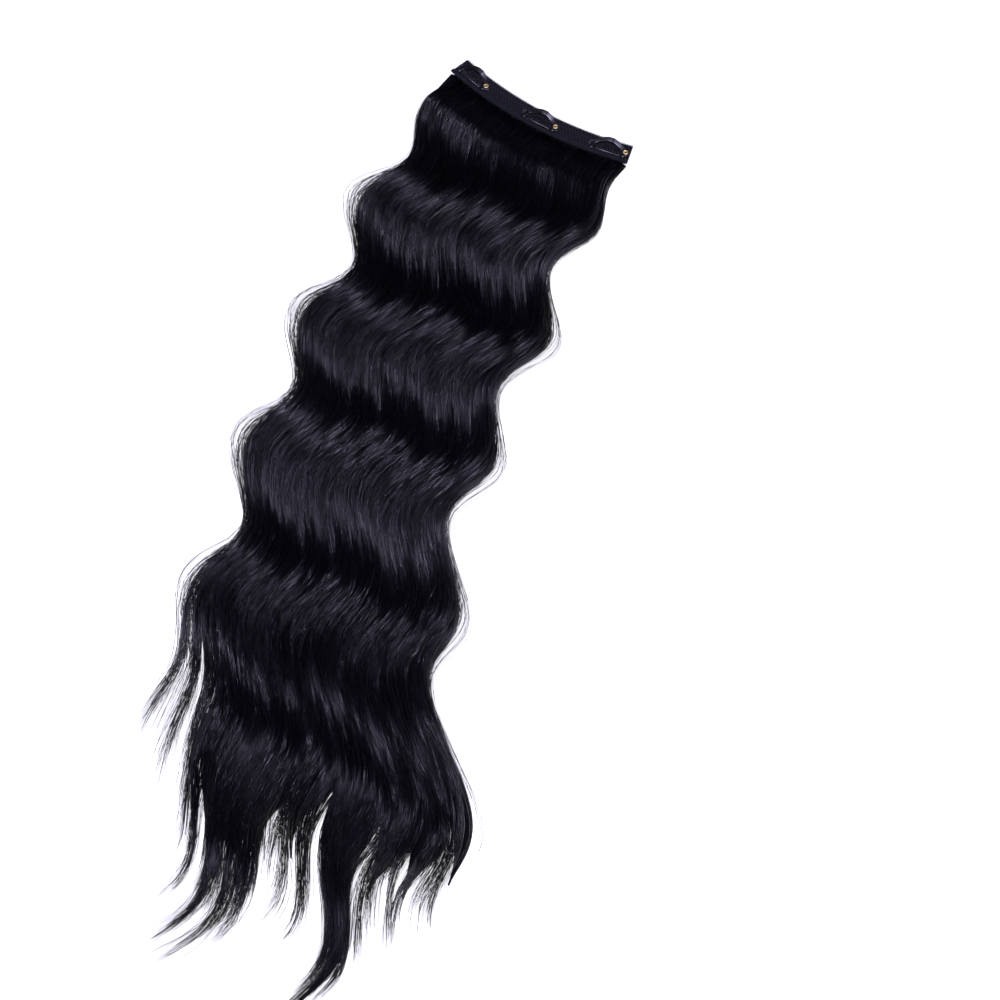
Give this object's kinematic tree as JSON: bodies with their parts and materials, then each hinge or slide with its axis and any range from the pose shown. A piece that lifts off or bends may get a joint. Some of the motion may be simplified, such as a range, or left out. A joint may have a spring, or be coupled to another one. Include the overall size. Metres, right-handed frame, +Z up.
{
  "type": "clip-in hair extension",
  "caption": "Long wavy clip-in hair weft on a bowed lace strip with toothed snap clips, lying flat with its clips up.",
  "frame": {"origin": "on the flat surface under the middle of the strip's bowed middle line", "axes": "+X along the strip towards the rivets' side of each clip, +Y away from the hair, +Z up out of the surface through the clips"},
  "size_m": [0.3515, 0.6426, 0.0137],
  "materials": {
    "hair": "glossy black hair fibre",
    "lace": "matt dark net lace",
    "hem": "matt woven tape",
    "clip": "glossy black lacquer on spring steel",
    "rivet": "polished"
  },
  "bodies": {
    "weft": {"hair": "hair", "lace_band": "lace", "hem_tape": "hem", "clip_frame_1": "clip", "clip_rivet_1": "rivet", "clip_frame_2": "clip", "clip_rivet_2": "rivet", "clip_frame_3": "clip", "clip_rivet_3": "rivet"},
    "comb_1": {"clip_comb_1": "clip"},
    "comb_2": {"clip_comb_2": "clip"},
    "comb_3": {"clip_comb_3": "clip"}
  },
  "joints": [
    {"name": "comb_1_snap", "type": "hinge", "parent": "weft", "child": "comb_1", "pos_m": [-0.06048, 0.00182, 0.0039], "axis": [0.9791, -0.2036, 0], "range_deg": [0, 40]},
    {"name": "comb_2_snap", "type": "hinge", "parent": "weft", "child": "comb_2", "pos_m": [0.00396, -0.00437, 0.0039], "axis": [0.9999, 0.0133, 0], "range_deg": [0, 40]},
    {"name": "comb_3_snap", "type": "hinge", "parent": "weft", "child": "comb_3", "pos_m": [0.06048, 0.00182, 0.0039], "axis": [0.9791, 0.2036, 0], "range_deg": [0, 40]}
  ]
}
